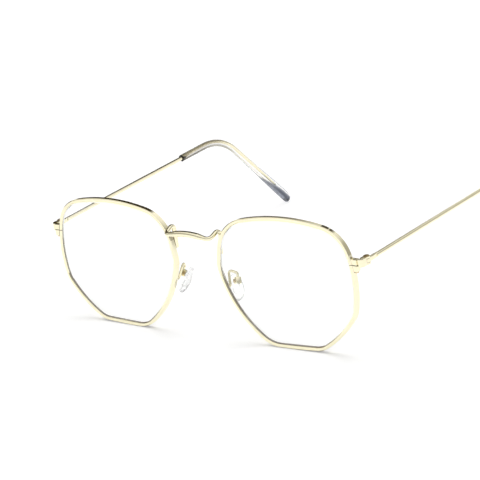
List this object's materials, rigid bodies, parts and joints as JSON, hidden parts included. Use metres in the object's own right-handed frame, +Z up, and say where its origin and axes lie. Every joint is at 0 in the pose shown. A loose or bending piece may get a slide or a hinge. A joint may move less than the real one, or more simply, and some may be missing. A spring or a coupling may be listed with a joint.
{
  "type": "eyeglasses",
  "caption": "Hexagonal wire-frame eyeglasses with clear lenses, a raised wire bridge, adjustable nose pads, folding wire temples and clear ear tips.",
  "frame": {"origin": "on the surface that the glasses stand on, under the middle of their bounding box; the rims' lowest sides and the ends of both temple tips touch that surface", "axes": "+Z up, -Y the way the front faces, +Y back along the open temples, +X towards the wearer's left"},
  "size_m": [0.1378, 0.1498, 0.0457],
  "materials": {
    "gold_wire": "polished pale gold plating",
    "screw": "darker gold screws and fittings",
    "lens": "clear, untinted",
    "clear_plastic": "clear, glossy",
    "clear_pad": "clear, soft gloss"
  },
  "bodies": {
    "front": {"left_rim": "gold_wire", "left_lens": "lens", "left_end_piece": "gold_wire", "left_upper_block": "gold_wire", "left_lower_block": "gold_wire", "left_rim_screw": "screw", "left_front_hinge": "gold_wire", "left_hinge_screw": "screw", "left_pad_arm": "gold_wire", "left_pad_box": "gold_wire", "left_pad_screw": "screw", "right_rim": "gold_wire", "right_lens": "lens", "right_end_piece": "gold_wire", "right_upper_block": "gold_wire", "right_lower_block": "gold_wire", "right_rim_screw": "screw", "right_front_hinge": "gold_wire", "right_hinge_screw": "screw", "right_pad_arm": "gold_wire", "right_pad_box": "gold_wire", "right_pad_screw": "screw", "bridge": "gold_wire"},
    "left_temple": {"left_temple_hinge": "gold_wire", "left_temple": "gold_wire", "left_temple_tip": "clear_plastic"},
    "right_temple": {"right_temple_hinge": "gold_wire", "right_temple": "gold_wire", "right_temple_tip": "clear_plastic"},
    "left_pad": {"left_pad_core": "clear_plastic", "left_nose_pad": "clear_pad"},
    "right_pad": {"right_pad_core": "clear_plastic", "right_nose_pad": "clear_pad"}
  },
  "joints": [
    {"name": "left_temple_fold", "type": "hinge", "parent": "front", "child": "left_temple", "pos_m": [0.0646, -0.06428, 0.03272], "axis": [0, -0.0494, 0.9988], "range_deg": [0, 90]},
    {"name": "right_temple_fold", "type": "hinge", "parent": "front", "child": "right_temple", "pos_m": [-0.0646, -0.06428, 0.03272], "axis": [0, 0.0494, -0.9988], "range_deg": [0, 84]},
    {"name": "left_pad_rock", "type": "hinge", "parent": "front", "child": "left_pad", "pos_m": [0.0115, -0.06358, 0.01984], "axis": [0.4513, 0.8587, -0.2429], "range_deg": [-10, 10]},
    {"name": "right_pad_rock", "type": "hinge", "parent": "front", "child": "right_pad", "pos_m": [-0.0115, -0.06358, 0.01984], "axis": [-0.4513, 0.8587, -0.2429], "range_deg": [-10, 10]}
  ]
}
